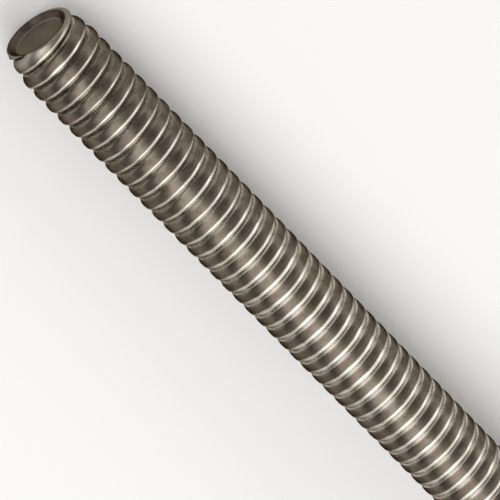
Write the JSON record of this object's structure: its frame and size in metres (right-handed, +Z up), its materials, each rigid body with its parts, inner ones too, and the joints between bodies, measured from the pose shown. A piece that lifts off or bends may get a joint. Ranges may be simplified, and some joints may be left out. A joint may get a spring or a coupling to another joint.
{
  "type": "fully threaded hex bolt",
  "caption": "Plain steel hex-head bolt threaded along its whole shank, with a washer face, a short neck, broad flat crests and a tapered tip, for clamping parts together with a nut or in a tapped hole.",
  "frame": {"origin": "centre of the bearing face under the head, on the bolt's axis", "axes": "+X along the axis from the head to the tip, +Z up with one flat of the head facing down"},
  "size_m": [0.0675, 0.0128, 0.0112],
  "materials": {
    "steel": "plain bright stainless steel, rolled thread"
  },
  "bodies": {
    "root": {"bolt": "steel"}
  },
  "joints": []
}
